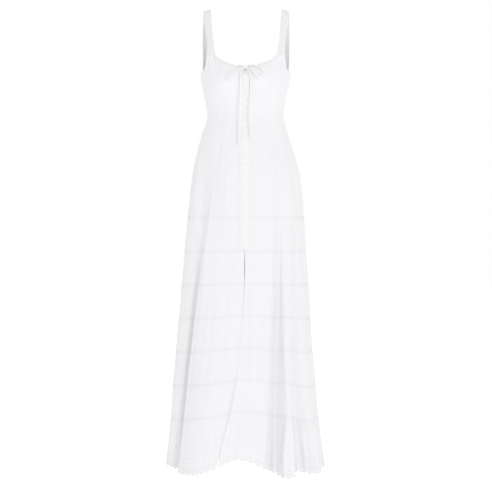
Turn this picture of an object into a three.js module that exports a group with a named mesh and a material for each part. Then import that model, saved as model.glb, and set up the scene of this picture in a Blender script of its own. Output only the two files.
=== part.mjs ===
// A white cotton maxi dress, hanging as it is worn: a fitted princess-cut top with wide straps, a row of covered
// buttons and a tied cord at the neck, and a flared skirt of tiers joined by lace, open down the front, with a
// gathered flounce and a scalloped lace hem. Millimetres, +Z up, the front faces -Y. The origin lies between
// the straps where the shoulders carry them. Left and right are the wearer's, so +X is the wearer's left.
import * as THREE from "three";

// Driving sizes
const CLOTH = 1.5; // wall of the cotton
const LACE = 1.2; // wall of the lace
const SEAM = 0.3; // gap between sewn pieces
const TOP_HEM = -658; // where the fitted top ends and the first lace begins
const TIERS = 6; // cotton tiers between the top and the flounce
const TIER_PITCH = 106.4; // from one lace insertion to the next
const BAND = 12.5; // height of a lace insertion
const HEM = -1462; // lowest edge of the lace hem at the sides
const HEM_LACE = 52; // height of the hem lace
const SCALLOP = 7; // depth of its scallops
const CENTRE = -3; // the closing lies a little to the wearer's right
const STAND = 14; // half width of the button stand

// Level sections round the wearer: half widths to the wearer's right and left, depths to the front and the back
const SECTIONS = [
  { z: -120, right: 141, left: 144, front: 88, back: 86 },
  { z: -200, right: 144, left: 143.5, front: 102, back: 92 },
  { z: -248, right: 139, left: 136, front: 104, back: 91 },
  { z: -300, right: 127, left: 125, front: 92, back: 84 },
  { z: -342, right: 122.5, left: 121, front: 86, back: 80 },
  { z: -402, right: 141, left: 137, front: 96, back: 98 },
  { z: -478, right: 161, left: 161, front: 112, back: 121 },
  { z: -540, right: 172, left: 176, front: 122, back: 132 },
  { z: -664, right: 185, left: 187, front: 135, back: 145 },
  { z: -877, right: 202, left: 200, front: 152, back: 164 },
  { z: -1090, right: 218, left: 212, front: 170, back: 184 },
  { z: -1302, right: 236, left: 235, front: 192, back: 208 },
  { z: -1462, right: 252, left: 254, front: 219, back: 234 },
];

// The cups that the princess seams shape: angle from the front, height, reach outwards, spread round and up
const CUP = { deg: 33, z: -236, out: 15, degSpread: 22, zSpread: 46 };

// Folds of the skirt. Angles run from the front to the wearer's left, at the fold's start and at the hem. At the
// hem a fold stands out by `out` and leans round by `lean`. It lifts the last tier by `up` and the hem by `hemUp`.
const FOLDS = [
  { start: -640, deg: 0, hemDeg: -5, out: -16, lean: 0, up: 36, hemUp: 48, spread: 20 },
  { start: -560, deg: -26, hemDeg: -37, out: 16, lean: 0, up: 12, hemUp: -4, spread: 17 },
  { start: -640, deg: 14, hemDeg: 14, out: 0, lean: 0, up: 16, hemUp: 0, spread: 11 },
  { start: -470, deg: -48, hemDeg: -67.5, out: -44, lean: -8, up: 0, hemUp: 0, spread: 6.5 },
  { start: -500, deg: -57, hemDeg: -78, out: -14, lean: 0, up: 0, hemUp: 0, spread: 8 },
  { start: -600, deg: -84, hemDeg: -96, out: 6, lean: 0, up: -6, hemUp: 10, spread: 14 },
  { start: -560, deg: 38, hemDeg: 23.5, out: -50, lean: 10, up: 4, hemUp: 0, spread: 7.5 },
  { start: -620, deg: 47, hemDeg: 32, out: 24, lean: -16, up: 20, hemUp: -10, spread: 9 },
  { start: -660, deg: 56, hemDeg: 44, out: -34, lean: 0, up: 6, hemUp: 6, spread: 6 },
  { start: -640, deg: 64, hemDeg: 58, out: 10, lean: 0, up: 0, hemUp: -4, spread: 9 },
  { start: -640, deg: 80, hemDeg: 77, out: -24, lean: 3, up: 0, hemUp: 0, spread: 8 },
  { start: -640, deg: 112, hemDeg: 116, out: -30, lean: 0, up: 0, hemUp: 0, spread: 10 },
  { start: -660, deg: 136, hemDeg: 138, out: 16, lean: 0, up: 0, hemUp: -6, spread: 13 },
  { start: -620, deg: 160, hemDeg: 163, out: -34, lean: 3, up: 0, hemUp: 0, spread: 9 },
  { start: -640, deg: 182, hemDeg: 184, out: 14, lean: 0, up: 0, hemUp: 10, spread: 12 },
  { start: -620, deg: 204, hemDeg: 207, out: -30, lean: -4, up: 0, hemUp: 0, spread: 10 },
  { start: -660, deg: 226, hemDeg: 229, out: 16, lean: 0, up: 0, hemUp: -6, spread: 13 },
  { start: -640, deg: 247, hemDeg: 248, out: -28, lean: 0, up: 0, hemUp: 0, spread: 9 },
];
const LIFT_START = -790;

// Where the two front edges run, from the last button to the hem, and how far apart they stand
const SLIT = [
  { z: -658, across: CENTRE, gap: SEAM },
  { z: -765, across: CENTRE, gap: 1.6 },
  { z: -830, across: -3.6, gap: 4 },
  { z: -900, across: -5, gap: 3 },
  { z: -985, across: -9, gap: 1.6 },
  { z: -1090, across: -16, gap: 1.2 },
  { z: -1170, across: -25, gap: 1.4 },
  { z: -1234, across: -34, gap: 1.8 },
  { z: -1302, across: -49, gap: 2.5 },
  { z: -1373, across: -67, gap: 3.5 },
  { z: -1425, across: -81, gap: 4.5 },
  { z: -1462, across: -89, gap: 5 },
];
const SLIT_REACH = 60; // degrees each side over which the columns follow the slit

// The top edge: neckline, strap seats, armholes and back
const TOP_EDGE = [
  { deg: 0, z: -191 },
  { deg: 12, z: -188.5 },
  { deg: 21.5, z: -182 },
  { deg: 32, z: -171 },
  { deg: 38, z: -162 },
  { deg: 43, z: -152 },
  { deg: 51.5, z: -149 },
  { deg: 60, z: -146 },
  { deg: 61, z: -168 },
  { deg: 63, z: -187 },
  { deg: 68, z: -196 },
  { deg: 78, z: -199 },
  { deg: 90, z: -197 },
  { deg: 98, z: -199 },
  { deg: 106, z: -197 },
  { deg: 132, z: -172 },
  { deg: 148, z: -175 },
  { deg: 180, z: -178 },
];
// Rows down the fitted top, as shares of its length at each column. The neck lace lies on the first stretch.
const TOP_ROWS = [0, 0.021, 0.05, 0.1, 0.16, 0.22, 0.28, 0.34, 0.4, 0.46, 0.54, 0.63, 0.76, 1];
const KEYHOLE = 11; // width of the gap under the knot, at the second row
const NECK_RISE = 3; // how far the neck lace stands above the edge

// Panels of the top, each a stretch of angles from seam to seam
const CENTRE_FRONT = [10, 17, 24.5, 32];
const SIDE_FRONT = [32, 38, 43, 51.5, 60, 61, 63, 68, 78, 90];
const SIDE_BACK = [90, 98, 106, 115, 124, 132, 134, 141, 148];
const BACK = [148, 156, 164, 172, 180, 188, 196, 204, 212];

// Columns round the skirt: steps of angle, closer where the folds are deep, and flounce columns in each step
const SKIRT_STEPS = [
  { to: 64, step: 4, split: 3 },
  { to: 120, step: 7, split: 4 },
  { to: 240, step: 10, split: 5 },
  { to: 272, step: 8, split: 4 },
  { to: 300, step: 4, split: 2 },
  { to: 360, step: 6, split: 3 },
];
const RUFFLE_ROWS = [0, 0.45, 1];
const RUFFLE_COLUMNS_A_WAVE = 4;
const RUFFLE_WAVE = 9; // how far a wave of the flounce stands out at the hem
const SCALLOP_COLUMNS = 3;

// The strap's two edges, over the shoulder from front to back, on the wearer's left
const STRAP_EDGES = [
  { inner: [103.5, -60, -113], outer: [124.5, -43, -113] },
  { inner: [107.5, -47, -74], outer: [129.5, -31, -74] },
  { inner: [110.5, -30, -36], outer: [134, -19, -40] },
  { inner: [112.5, -13, -8], outer: [136.8, -6, -15] },
  { inner: [113.5, 4, 4.5], outer: [137.5, 6, -3] },
  { inner: [113, 21, -5], outer: [138, 19, -11] },
  { inner: [112.5, 39, -30], outer: [138.5, 30, -36] },
  { inner: [112, 54, -72], outer: [139.5, 34, -76] },
  { inner: [111, 61, -114], outer: [139.5, 32, -120] },
  { inner: [109, 60.5, -148], outer: [139, 28.5, -162] },
];
const STRAP_SEATS = { front: [43, 51.5, 60], back: [132, 119, 106] }; // angles from the inner edge to the outer
const STRAP_SHIFT = 1.5; // both straps lie that far to the wearer's left
const STRAP_STEPS = 22;
const STRAP_CROWN = 1.2;

const BUTTONS = 27;
const BUTTON = { radius: 5.2, height: 3.6, seat: 0.6, first: -226, last: -751 };

// The tied cord. Points are given across, down, and out from the cloth; the tails hang plumb.
const CORD = 4;
const CORD_SIDES = 8;
const KNOT = { z: -192, out: 5.7, width: 12.6, depth: 7.4, height: 11 };
const LOOP_RIGHT = [
  { across: -9.3, z: -189.4, out: 6 },
  { across: -22, z: -188, out: 6.6 },
  { across: -38, z: -195, out: 6.6 },
  { across: -52, z: -207, out: 6.4 },
  { across: -59, z: -219, out: 6.2 },
  { across: -55, z: -228, out: 6.2 },
  { across: -45, z: -225, out: 6.6 },
  { across: -34, z: -215, out: 6.8 },
  { across: -21, z: -204, out: 6.6 },
  { across: -9.3, z: -194.6, out: 6 },
];
const LOOP_LEFT = [
  { across: 3.3, z: -189.4, out: 6 },
  { across: 18, z: -187.5, out: 6.6 },
  { across: 32, z: -190, out: 6.8 },
  { across: 45, z: -198, out: 6.8 },
  { across: 51, z: -210, out: 6.6 },
  { across: 48, z: -222, out: 6.6 },
  { across: 39, z: -226, out: 6.6 },
  { across: 28, z: -218, out: 6.8 },
  { across: 16, z: -205, out: 6.6 },
  { across: 3.3, z: -194.6, out: 6 },
];
const TAIL_RIGHT = [
  { x: -5.6, y: -107.9, z: -196.9 },
  { x: -12, y: -114, z: -209 },
  { x: -17, y: -116.5, z: -224 },
  { x: -18.5, y: -117.3, z: -262 },
  { x: -19, y: -117.5, z: -310 },
  { x: -22, y: -117.5, z: -370 },
  { x: -25, y: -117.5, z: -432 },
];
const TAIL_LEFT = [
  { x: -0.4, y: -107.9, z: -196.9 },
  { x: 7, y: -114, z: -209 },
  { x: 11.5, y: -116.5, z: -224 },
  { x: 11.5, y: -117.3, z: -262 },
  { x: 8.5, y: -117.5, z: -322 },
  { x: 10, y: -117.5, z: -366 },
  { x: 13.5, y: -117.5, z: -412 },
];
const TAIL_STEPS = 22;
const LOOP_STEPS = 20;

const rad = THREE.MathUtils.degToRad;
const FLOUNCE_TOP = TOP_HEM - TIERS * TIER_PITCH - BAND - SEAM;
const group = new THREE.Group();
const cotton = new THREE.MeshStandardMaterial({ color: 0xf3f3f5, roughness: 0.85, metalness: 0 });
const lace = new THREE.MeshStandardMaterial({ color: 0xececee, roughness: 0.9, metalness: 0 });
const satin = new THREE.MeshStandardMaterial({ color: 0xf8f8fa, roughness: 0.55, metalness: 0 });

function add(name, geometry, material) {
  const mesh = new THREE.Mesh(geometry, material);
  mesh.name = name;
  group.add(mesh);
}

// A smooth curve through a table's rows: the value of one column at `at`, which is measured along `key`.
function along(table, key, at, column) {
  const rising = table[1][key] > table[0][key] ? 1 : -1;
  let i = table.findIndex((row) => rising * (row[key] - at) > 0) - 1;
  if (i < 0) i = rising * (at - table[0][key]) < 0 ? 0 : table.length - 2;
  const slope = (k) => {
    const before = table[Math.max(k - 1, 0)];
    const after = table[Math.min(k + 1, table.length - 1)];
    return (after[column] - before[column]) / (after[key] - before[key]);
  };
  const width = table[i + 1][key] - table[i][key];
  const t = THREE.MathUtils.clamp((at - table[i][key]) / width, 0, 1);
  const rest = 1 - t;
  return (
    table[i][column] * rest * rest * (1 + 2 * t) +
    table[i + 1][column] * t * t * (3 - 2 * t) +
    width * t * rest * (slope(i) * rest - slope(i + 1) * t)
  );
}

// The height of the top edge, straight between its rows and the same on both sides.
function topEdge(deg) {
  const folded = Math.abs(THREE.MathUtils.euclideanModulo(deg + 180, 360) - 180);
  const i = Math.min(TOP_EDGE.findIndex((row) => row.deg >= folded) || 1, TOP_EDGE.length - 1);
  const [a, b] = [TOP_EDGE[i - 1], TOP_EDGE[i]];
  return THREE.MathUtils.mapLinear(folded, a.deg, b.deg, a.z, b.z);
}

const bell = (x) => Math.exp(-x * x);
const wrap = (deg) => THREE.MathUtils.euclideanModulo(deg + 180, 360) - 180;

// The hanging garment's outer face at an angle and a height, before gathers: one smooth surface for every piece.
const halfWidth = (deg, z) => along(SECTIONS, "z", z, wrap(deg) < 0 ? "right" : "left");
function skin(deg, z) {
  const half = halfWidth(deg, z);
  const depth = along(SECTIONS, "z", z, Math.cos(rad(deg)) > 0 ? "front" : "back");
  const point = new THREE.Vector3(half * Math.sin(rad(deg)), -depth * Math.cos(rad(deg)), z);
  const outward = new THREE.Vector3(point.x / half ** 2, point.y / depth ** 2, 0).normalize();
  const round = new THREE.Vector3(-outward.y, outward.x, 0);
  const cup =
    CUP.out * bell((z - CUP.z) / CUP.zSpread) *
    (bell(wrap(deg - CUP.deg) / CUP.degSpread) + bell(wrap(deg + CUP.deg) / CUP.degSpread));
  point.addScaledVector(outward, cup);
  const lifting = THREE.MathUtils.clamp((LIFT_START - z) / (LIFT_START - FLOUNCE_TOP), 0, 1);
  const flounceShare = THREE.MathUtils.clamp((FLOUNCE_TOP - z) / (FLOUNCE_TOP - HEM), 0, 1);
  for (const fold of FOLDS) {
    const fall = THREE.MathUtils.clamp((fold.start - z) / (fold.start - HEM), 0, 1);
    const centre = THREE.MathUtils.lerp(fold.deg, fold.hemDeg, fall);
    const near = bell(wrap(deg - centre) / fold.spread);
    const weight = near * fall * (1.35 - 0.35 * fall);
    point.addScaledVector(outward, fold.out * weight);
    point.addScaledVector(round, fold.lean * weight);
    point.z += near * (fold.up * lifting + (fold.hemUp - fold.up) * flounceShare);
  }
  return point;
}

// The outward direction of that surface.
function facing(deg, z) {
  const across = skin(deg + 0.2, z).sub(skin(deg - 0.2, z));
  const upward = skin(deg, z + 1).sub(skin(deg, z - 1));
  return across.cross(upward).normalize();
}

const lifted = (deg, z, out) => skin(deg, z).addScaledVector(facing(deg, z), out);
const degAcross = (across, z) =>
  THREE.MathUtils.radToDeg(Math.asin(across / halfWidth(across, z)));
const onFront = ({ across, z, out }) => lifted(degAcross(across, z), z, out);

// A closed wall between two grids of points of the same size, the outer one and the inner one. The columns run
// to the wearer's left, and each column's rows run down.
function wall(outer, inner) {
  const columns = outer.length;
  const rows = outer[0].length;
  const positions = [...outer.flat(), ...inner.flat()].flatMap((p) => [p.x, p.y, p.z]);
  const face = [];
  const quad = (a, b, c, d) => face.push(a, b, c, a, c, d);
  const out = (i, j) => i * rows + j;
  const inn = (i, j) => columns * rows + i * rows + j;
  for (let i = 0; i < columns - 1; i++) {
    for (let j = 0; j < rows - 1; j++) {
      quad(out(i, j), out(i, j + 1), out(i + 1, j + 1), out(i + 1, j));
      quad(inn(i, j), inn(i + 1, j), inn(i + 1, j + 1), inn(i, j + 1));
    }
    quad(out(i, 0), out(i + 1, 0), inn(i + 1, 0), inn(i, 0));
    quad(out(i, rows - 1), inn(i, rows - 1), inn(i + 1, rows - 1), out(i + 1, rows - 1));
  }
  for (let j = 0; j < rows - 1; j++) {
    const last = columns - 1;
    quad(out(0, j), inn(0, j), inn(0, j + 1), out(0, j + 1));
    quad(out(last, j), out(last, j + 1), inn(last, j + 1), inn(last, j));
  }
  const geometry = new THREE.BufferGeometry();
  geometry.setAttribute("position", new THREE.Float32BufferAttribute(positions, 3));
  geometry.setIndex(face);
  geometry.computeVertexNormals();
  return geometry;
}

// A wall that follows the garment: `places` holds [deg, z] for each column and row.
function clothWall(places, outside, thickness) {
  const grid = (out) => places.map((column) => column.map(([deg, z]) => lifted(deg, z, out)));
  return wall(grid(outside), grid(outside - thickness));
}

// One column of the fitted top at an angle, or that far across from the closing where `across` is given.
function topColumn(deg, rows = TOP_ROWS, rise = 0) {
  return rows.map((share, j) => {
    const near = typeof deg === "function" ? deg(topEdge(0)) : deg;
    const top = topEdge(near) + (j === 0 ? rise : 0);
    const z = THREE.MathUtils.lerp(top, TOP_HEM + SEAM, share);
    return [typeof deg === "function" ? deg(z, j) : deg, z];
  });
}

// Angles shifted by half the seam's gap at both ends of a panel.
function seamed(degs) {
  const gap = THREE.MathUtils.radToDeg(SEAM / 2 / 130);
  return degs.map((deg, i) => deg + (i === 0 ? gap : i === degs.length - 1 ? -gap : 0));
}

// The front edge of a centre front: on the closing, and drawn back round the keyhole.
const frontEdge = (side) => (z, j) =>
  degAcross(CENTRE + (side * (j === 1 ? KEYHOLE : SEAM)) / 2, z);
const standEdge = (side) => (z) => degAcross(CENTRE + side * STAND, z);

// Fitted top: two centre fronts, two side fronts, two side backs and the back
const centreFront = (side) => {
  const gap = THREE.MathUtils.radToDeg(SEAM / 2 / 130);
  const rest = CENTRE_FRONT.map((deg, i) => side * (deg - (i === CENTRE_FRONT.length - 1 ? gap : 0)));
  return [frontEdge(side), standEdge(side), ...rest];
};
const towardsLeft = (side, columns) => (side > 0 ? columns : [...columns].reverse());
for (const [side, name] of [[1, "left"], [-1, "right"]]) {
  const panel = (degs) => towardsLeft(side, seamed(degs).map((deg) => topColumn(side * deg)));
  const front = towardsLeft(side, centreFront(side).map((deg) => topColumn(deg)));
  add(`centre_front_${name}`, clothWall(front, 0, CLOTH), cotton);
  add(`side_front_${name}`, clothWall(panel(SIDE_FRONT), 0, CLOTH), cotton);
  add(`side_back_${name}`, clothWall(panel(SIDE_BACK), 0, CLOTH), cotton);
}
add("back", clothWall(seamed(BACK).map((deg) => topColumn(deg)), 0, CLOTH), cotton);

// Neck lace on the first stretch of the fronts and of the back
const NECK_ROWS = TOP_ROWS.slice(0, 2);
const frontNeck = (side) => [...centreFront(side), ...SIDE_FRONT.slice(1, 3).map((deg) => side * deg)];
for (const [side, name] of [[1, "left"], [-1, "right"]]) {
  const columns = frontNeck(side).map((deg) => topColumn(deg, NECK_ROWS, NECK_RISE));
  add(`neck_lace_${name}`, clothWall(towardsLeft(side, columns), SEAM + LACE, LACE), lace);
}
const backDegs = [...SIDE_BACK.slice(-3, -1), ...BACK, ...SIDE_BACK.slice(-3, -1).reverse().map((deg) => 360 - deg)];
const backNeck = backDegs.map((deg) => topColumn(deg, NECK_ROWS, NECK_RISE));
add("neck_lace_back", clothWall(backNeck, SEAM + LACE, LACE), lace);

// Straps: each runs from its seat on a side front, over the shoulder, to its seat on a side back
function strap(side) {
  const seat = (deg) => skin(side * deg, topEdge(deg) + SEAM);
  const mirrored = ([x, y, z]) => new THREE.Vector3(side * x + STRAP_SHIFT, y, z);
  const edge = (column, from, to) =>
    new THREE.CatmullRomCurve3([seat(from), ...STRAP_EDGES.map((row) => mirrored(row[column])), seat(to)]);
  const { front, back } = STRAP_SEATS;
  const inner = edge("inner", front[0], back[0]).getPoints(STRAP_STEPS);
  const outer = edge("outer", front[2], back[2]).getPoints(STRAP_STEPS);
  const rows = inner.map((point, j) => {
    const middle = point.clone().lerp(outer[j], 0.5);
    const ahead = inner[Math.min(j + 1, STRAP_STEPS)].clone().sub(inner[Math.max(j - 1, 0)]);
    const up = ahead.cross(point.clone().sub(outer[j])).normalize().multiplyScalar(side);
    return { points: [point, middle.addScaledVector(up, STRAP_CROWN), outer[j]], up };
  });
  const grid = (out) =>
    [0, 1, 2].map((i) =>
      rows.map(({ points, up }, j) => {
        if (j === 0 || j === STRAP_STEPS) {
          const deg = (j === 0 ? front : back)[i];
          return lifted(side * deg, topEdge(deg) + SEAM, out);
        }
        return points[i].clone().addScaledVector(up, out);
      }),
    );
  const columns = (out) => towardsLeft(-side, grid(out));
  return wall(columns(0), columns(-CLOTH));
}
add("strap_left", strap(1), cotton);
add("strap_right", strap(-1), cotton);

// Skirt columns: the front edges follow the slit, and the columns near them follow it less and less.
const nominal = [0];
const flounceColumns = [{ step: 0, share: 0 }];
for (const { to, step, split } of SKIRT_STEPS) {
  while (nominal.at(-1) < to - 0.01) {
    for (let k = 1; k <= split; k++) flounceColumns.push({ step: nominal.length - 1, share: k / split });
    nominal.push(nominal.at(-1) + step);
  }
}
function skirtDeg(i, z) {
  const last = nominal.length - 1;
  const centre = along(SLIT, "z", z, "across");
  const gap = along(SLIT, "z", z, "gap") / 2;
  if (i === 0) return degAcross(centre + gap, z);
  if (i === last) return 360 + degAcross(centre - gap, z);
  if (i === 1) return degAcross(centre + STAND, z);
  if (i === last - 1) return 360 + degAcross(centre - STAND, z);
  const away = Math.min(Math.abs(wrap(nominal[i])) / SLIT_REACH, 1);
  const follow = (1 - away) ** 2 * (1 + 2 * away);
  return nominal[i] + follow * degAcross(centre, z);
}
const skirtColumns = (zs) => nominal.map((_, i) => zs.map((z) => [skirtDeg(i, z), z]));

// Lace insertions, and the cotton tiers that hang from them
for (let k = 0; k <= TIERS; k++) {
  const top = TOP_HEM - k * TIER_PITCH;
  add(`lace_band_${k + 1}`, clothWall(skirtColumns([top, top - BAND]), 0, LACE), lace);
  if (k < TIERS) {
    const tier = skirtColumns([top - BAND - SEAM, top - TIER_PITCH + SEAM]);
    add(`tier_${k + 1}`, clothWall(tier, 0, CLOTH), cotton);
  }
}

// The flounce and its lace: finer columns, whose waves grow from nothing at the seam
const LACE_TOP = HEM + HEM_LACE;
function flouncePoint(i, z, out) {
  const { step, share } = flounceColumns[i];
  const end = Math.min(step + 1, nominal.length - 1);
  if (z === FLOUNCE_TOP) {
    return lifted(skirtDeg(step, z), z, out).lerp(lifted(skirtDeg(end, z), z, out), share);
  }
  const deg = THREE.MathUtils.lerp(skirtDeg(step, z), skirtDeg(end, z), share);
  const grown = (FLOUNCE_TOP - z) / (FLOUNCE_TOP - HEM);
  const wave = RUFFLE_WAVE * grown * Math.sin((2 * Math.PI * i) / RUFFLE_COLUMNS_A_WAVE);
  const uneven = 0.7 + 0.2 * Math.sin(i * 0.37) + 0.1 * Math.sin(i * 0.91);
  return lifted(deg, z, out + wave * uneven);
}
function flounceWall(heights, thickness) {
  const grid = (out) => flounceColumns.map((_, i) => heights(i).map((z) => flouncePoint(i, z, out)));
  return wall(grid(0), grid(-thickness));
}
const flounceRows = RUFFLE_ROWS.map((share) => THREE.MathUtils.lerp(FLOUNCE_TOP, LACE_TOP + SEAM, share));
add("flounce", flounceWall(() => flounceRows, CLOTH), cotton);
const scallops = (i) => [LACE_TOP, i % SCALLOP_COLUMNS ? HEM : HEM + SCALLOP];
add("hem_lace", flounceWall(scallops, LACE), lace);

// The button stand lies over both fronts, from under the keyhole to the start of the slit.
const standRows = TOP_ROWS.slice(2);
const standLow = [TOP_HEM, TOP_HEM - BAND, TOP_HEM - TIER_PITCH + SEAM];
const middle = (z) => degAcross(CENTRE, z);
const standColumns = [standEdge(-1), middle, standEdge(1)].map((deg) => [
  ...topColumn(deg, standRows),
  ...standLow.map((z) => [deg(z), z]),
]);
add("button_stand", clothWall(standColumns, SEAM + LACE, LACE), cotton);

// Covered buttons, each a low dome standing on the ridge of the stand
const ridge = standColumns[1].map(([deg, z]) => lifted(deg, z, SEAM + LACE + BUTTON.seat));
function button(z) {
  const i = ridge.findIndex((point) => point.z < z);
  const [above, below] = [ridge[i - 1], ridge[i]];
  const place = above.clone().lerp(below, (above.z - z) / (above.z - below.z));
  const fall = above.clone().sub(below).normalize();
  const out = new THREE.Vector3(0, -1, 0).addScaledVector(fall, fall.y).normalize();
  const { radius, height } = BUTTON;
  const profile = [[0, 0], [radius * 0.82, 0], [radius, height * 0.4], [radius * 0.7, height * 0.85], [0, height]];
  const dome = new THREE.LatheGeometry(profile.map(([r, h]) => new THREE.Vector2(r, h)), 9);
  dome.applyQuaternion(new THREE.Quaternion().setFromUnitVectors(new THREE.Vector3(0, 1, 0), out));
  return dome.translate(place.x, place.y, place.z);
}
for (let i = 0; i < BUTTONS; i++) {
  const z = THREE.MathUtils.mapLinear(i, 0, BUTTONS - 1, BUTTON.first, BUTTON.last);
  add(`button_${String(i + 1).padStart(2, "0")}`, button(z), satin);
}

// The cord's knot, loops and tails
function cord(points, steps) {
  const corner = (k) => (2 * Math.PI * (k + 0.5)) / CORD_SIDES;
  const ring = Array.from({ length: CORD_SIDES }, (_, k) =>
    new THREE.Vector2((CORD / 2) * Math.cos(corner(k)), (CORD / 2) * Math.sin(corner(k))),
  );
  return new THREE.ExtrudeGeometry(new THREE.Shape(ring), {
    steps,
    bevelEnabled: false,
    extrudePath: new THREE.CatmullRomCurve3(points),
  });
}
const knot = new THREE.SphereGeometry(0.5, 12, 8).scale(KNOT.width, KNOT.depth, KNOT.height);
const knotPlace = onFront({ across: CENTRE, z: KNOT.z, out: KNOT.out });
add("tie_knot", knot.translate(knotPlace.x, knotPlace.y, knotPlace.z), satin);
add("tie_loop_right", cord(LOOP_RIGHT.map(onFront), LOOP_STEPS), satin);
add("tie_loop_left", cord(LOOP_LEFT.map(onFront), LOOP_STEPS), satin);
const plumb = ({ x, y, z }) => new THREE.Vector3(x, y, z);
add("tie_tail_right", cord(TAIL_RIGHT.map(plumb), TAIL_STEPS), satin);
add("tie_tail_left", cord(TAIL_LEFT.map(plumb), TAIL_STEPS), satin);

export default group;
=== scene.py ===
import math

import bpy
import numpy as np
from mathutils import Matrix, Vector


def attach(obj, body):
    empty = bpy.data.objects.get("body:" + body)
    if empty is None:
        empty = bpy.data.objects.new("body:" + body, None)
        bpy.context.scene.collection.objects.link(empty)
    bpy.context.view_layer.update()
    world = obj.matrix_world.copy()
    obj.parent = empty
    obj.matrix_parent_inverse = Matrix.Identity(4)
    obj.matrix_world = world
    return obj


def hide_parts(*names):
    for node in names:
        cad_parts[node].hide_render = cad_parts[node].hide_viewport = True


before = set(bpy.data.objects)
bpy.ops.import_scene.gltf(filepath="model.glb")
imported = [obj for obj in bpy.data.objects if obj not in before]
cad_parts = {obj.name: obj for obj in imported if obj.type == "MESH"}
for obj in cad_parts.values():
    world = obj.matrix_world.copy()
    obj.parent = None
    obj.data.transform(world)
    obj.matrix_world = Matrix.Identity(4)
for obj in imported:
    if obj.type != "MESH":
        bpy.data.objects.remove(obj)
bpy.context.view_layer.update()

MM = 0.001

# Camera. It stands level, five metres in front of the dress: the hem is seen almost edge on, and the straps'
# outer edges run straight up. One pixel of the photograph is 3.2 mm at the dress.
PHOTO_PIXELS = 492
PIXEL = 3.2 * MM
ORIGIN_COLUMN = 245.7
ORIGIN_ROW = 10.5
CAMERA_DISTANCE = 5.0
SENSOR = 36
camera_data = bpy.data.cameras.new("camera")
camera_data.sensor_width = SENSOR
camera_data.lens = SENSOR * CAMERA_DISTANCE / (PHOTO_PIXELS * PIXEL)
camera = bpy.data.objects.new("camera", camera_data)
camera.location.x = (PHOTO_PIXELS / 2 - ORIGIN_COLUMN) * PIXEL
camera.location.y = -CAMERA_DISTANCE
camera.location.z = (ORIGIN_ROW - PHOTO_PIXELS / 2) * PIXEL
camera.rotation_euler.x = math.radians(90)
bpy.context.collection.objects.link(camera)
bpy.context.scene.camera = camera

# The tied cord. A thin rolled cord closes the neck above the buttons, in a bow with two narrow loops and two
# tails that hang plumb off the bust. It is routed in millimetres on the form of the hanging dress, which is
# given first: level sections, folds that grow towards the hem, and the cups of the bust.
SECTION_COLUMNS = {"right": 1, "left": 2, "front": 3, "back": 4}
SECTIONS = np.array([
    # z, half width to the wearer's right and left, depth to the front and the back
    (-120, 141, 144, 88, 86),
    (-200, 144, 143.5, 102, 92),
    (-248, 139, 136, 104, 91),
    (-300, 127, 125, 92, 84),
    (-342, 122.5, 121, 86, 80),
    (-402, 141, 137, 96, 98),
    (-478, 161, 161, 112, 121),
    (-540, 172, 176, 122, 132),
    (-664, 185, 187, 135, 145),
    (-877, 202, 200, 152, 164),
    (-1090, 218, 212, 170, 184),
    (-1302, 236, 235, 192, 208),
    (-1462, 252, 254, 219, 234),
])
# Folds: where each starts, its angle there and at the hem, how far it stands out and leans, how far it lifts
# the lower rows and the hem, and its spread in degrees
FOLD_COLUMNS = ("start", "deg", "hem_deg", "out", "lean", "up", "hem_up", "spread")
FOLDS = [
    (-640, 0, -5, -16, 0, 36, 48, 20),
    (-560, -26, -37, 16, 0, 12, -4, 17),
    (-640, 14, 14, 0, 0, 16, 0, 11),
    (-470, -48, -67.5, -44, -8, 0, 0, 6.5),
    (-500, -57, -78, -14, 0, 0, 0, 8),
    (-600, -84, -96, 6, 0, -6, 10, 14),
    (-560, 38, 23.5, -50, 10, 4, 0, 7.5),
    (-620, 47, 32, 24, -16, 20, -10, 9),
    (-660, 56, 44, -34, 0, 6, 6, 6),
    (-640, 64, 58, 10, 0, 0, -4, 9),
    (-640, 80, 77, -24, 3, 0, 0, 8),
    (-640, 112, 116, -30, 0, 0, 0, 10),
    (-660, 136, 138, 16, 0, 0, -6, 13),
    (-620, 160, 163, -34, 3, 0, 0, 9),
    (-640, 182, 184, 14, 0, 0, 10, 12),
    (-620, 204, 207, -30, -4, 0, 0, 10),
    (-660, 226, 229, 16, 0, 0, -6, 13),
    (-640, 247, 248, -28, 0, 0, 0, 9),
]
# The cups of the bust: angle on either side, height, how far out, and the spread of both
CUP_DEG, CUP_Z, CUP_OUT, CUP_DEG_SPREAD, CUP_Z_SPREAD = 33, -236, 15, 22, 46
# Heights and pitches: the fitted top's lower edge, the tiers, the lace between them and the seams
TOP_HEM = -658
TIERS = 6
TIER_PITCH = 106.4
BAND = 12.5
SEAM = 0.3
HEM = -1462
# Below this height the folds begin to lift the tiers.
LIFT_START = -790
FLOUNCE_TOP = TOP_HEM - TIERS * TIER_PITCH - BAND - SEAM
# The closing lies so far to the wearer's right.
CENTRE = -3
# A fold grows a little faster at its start than lower down.
FOLD_EASE = 0.35
PROBE_DEG, PROBE_Z = 0.2, 1.0


def along(table, column, at):
    """A smooth curve through one column of a table whose rows fall from top to bottom."""
    z = table[::-1, 0]
    value = table[::-1, column]
    slope = np.gradient(value, z)
    slope[1:-1] = (value[2:] - value[:-2]) / (z[2:] - z[:-2])
    row = np.clip(np.searchsorted(z, at, side="right") - 1, 0, len(z) - 2)
    width = z[row + 1] - z[row]
    t = np.clip((at - z[row]) / width, 0, 1)
    rest = 1 - t
    ends = value[row] * rest**2 * (1 + 2 * t) + value[row + 1] * t**2 * (3 - 2 * t)
    return ends + width * t * rest * (slope[row] * rest - slope[row + 1] * t)


def bell(x):
    return np.exp(-x * x)


def wrap(deg):
    return (deg + 180) % 360 - 180


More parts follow.
